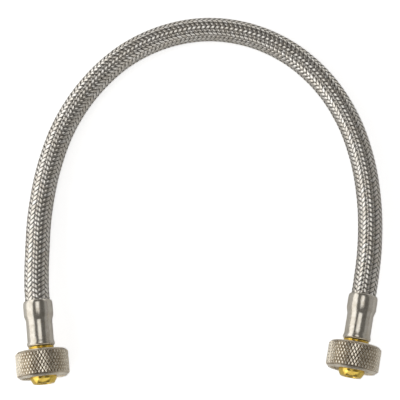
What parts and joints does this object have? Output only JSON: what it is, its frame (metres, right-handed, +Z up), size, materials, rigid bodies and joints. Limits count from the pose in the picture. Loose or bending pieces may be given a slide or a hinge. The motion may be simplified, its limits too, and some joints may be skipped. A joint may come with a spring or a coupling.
{
  "type": "braided supply line",
  "caption": "Short flexible water line of braided stainless wire over a rubber liner, with a crimped ferrule, a coned brass nose and a knurled swivel union nut at each end.",
  "frame": {"origin": "on the surface that the line lies on, midway between the two end fittings", "axes": "+Z up from that surface, +X from the left fitting to the right one, +Y towards the top of the arch; the fittings' mouths point to -Y"},
  "size_m": [0.1819, 0.187, 0.0267],
  "materials": {
    "braid_wire": "fine bright wire, woven",
    "liner_rubber": "matt",
    "ferrule_stainless": "drawn and lightly brushed",
    "brass": "bright turned",
    "seal_rubber": "matt",
    "slip_nylon": "matt",
    "nut_nickel": "satin nickel plate, knurled"
  },
  "bodies": {
    "hose": {"wire_braid": "braid_wire", "inner_tube": "liner_rubber", "left_crimp_ferrule": "ferrule_stainless", "left_tail_insert": "brass", "left_nose_seal": "seal_rubber", "right_crimp_ferrule": "ferrule_stainless", "right_tail_insert": "brass", "right_nose_seal": "seal_rubber"},
    "left_slip": {"left_thrust_washer": "slip_nylon"},
    "left_nut": {"left_union_nut": "nut_nickel"},
    "right_slip": {"right_thrust_washer": "slip_nylon"},
    "right_nut": {"right_union_nut": "nut_nickel"}
  },
  "joints": [
    {"name": "left_nut_float", "type": "slide", "parent": "hose", "child": "left_slip", "axis": [0.1127, -0.989, 0.0958], "range_m": [-0.0012, 0.0012]},
    {"name": "left_nut_spin", "type": "hinge", "parent": "left_slip", "child": "left_nut", "pos_m": [-0.07657, -0.00939, 0.01302], "axis": [0.1127, -0.989, 0.0958], "continuous": true},
    {"name": "right_nut_float", "type": "slide", "parent": "hose", "child": "right_slip", "axis": [-0.1899, -0.9771, 0.0958], "range_m": [-0.0012, 0.0012]},
    {"name": "right_nut_spin", "type": "hinge", "parent": "right_slip", "child": "right_nut", "pos_m": [0.07642, -0.00626, 0.01302], "axis": [-0.1899, -0.9771, 0.0958], "continuous": true}
  ]
}
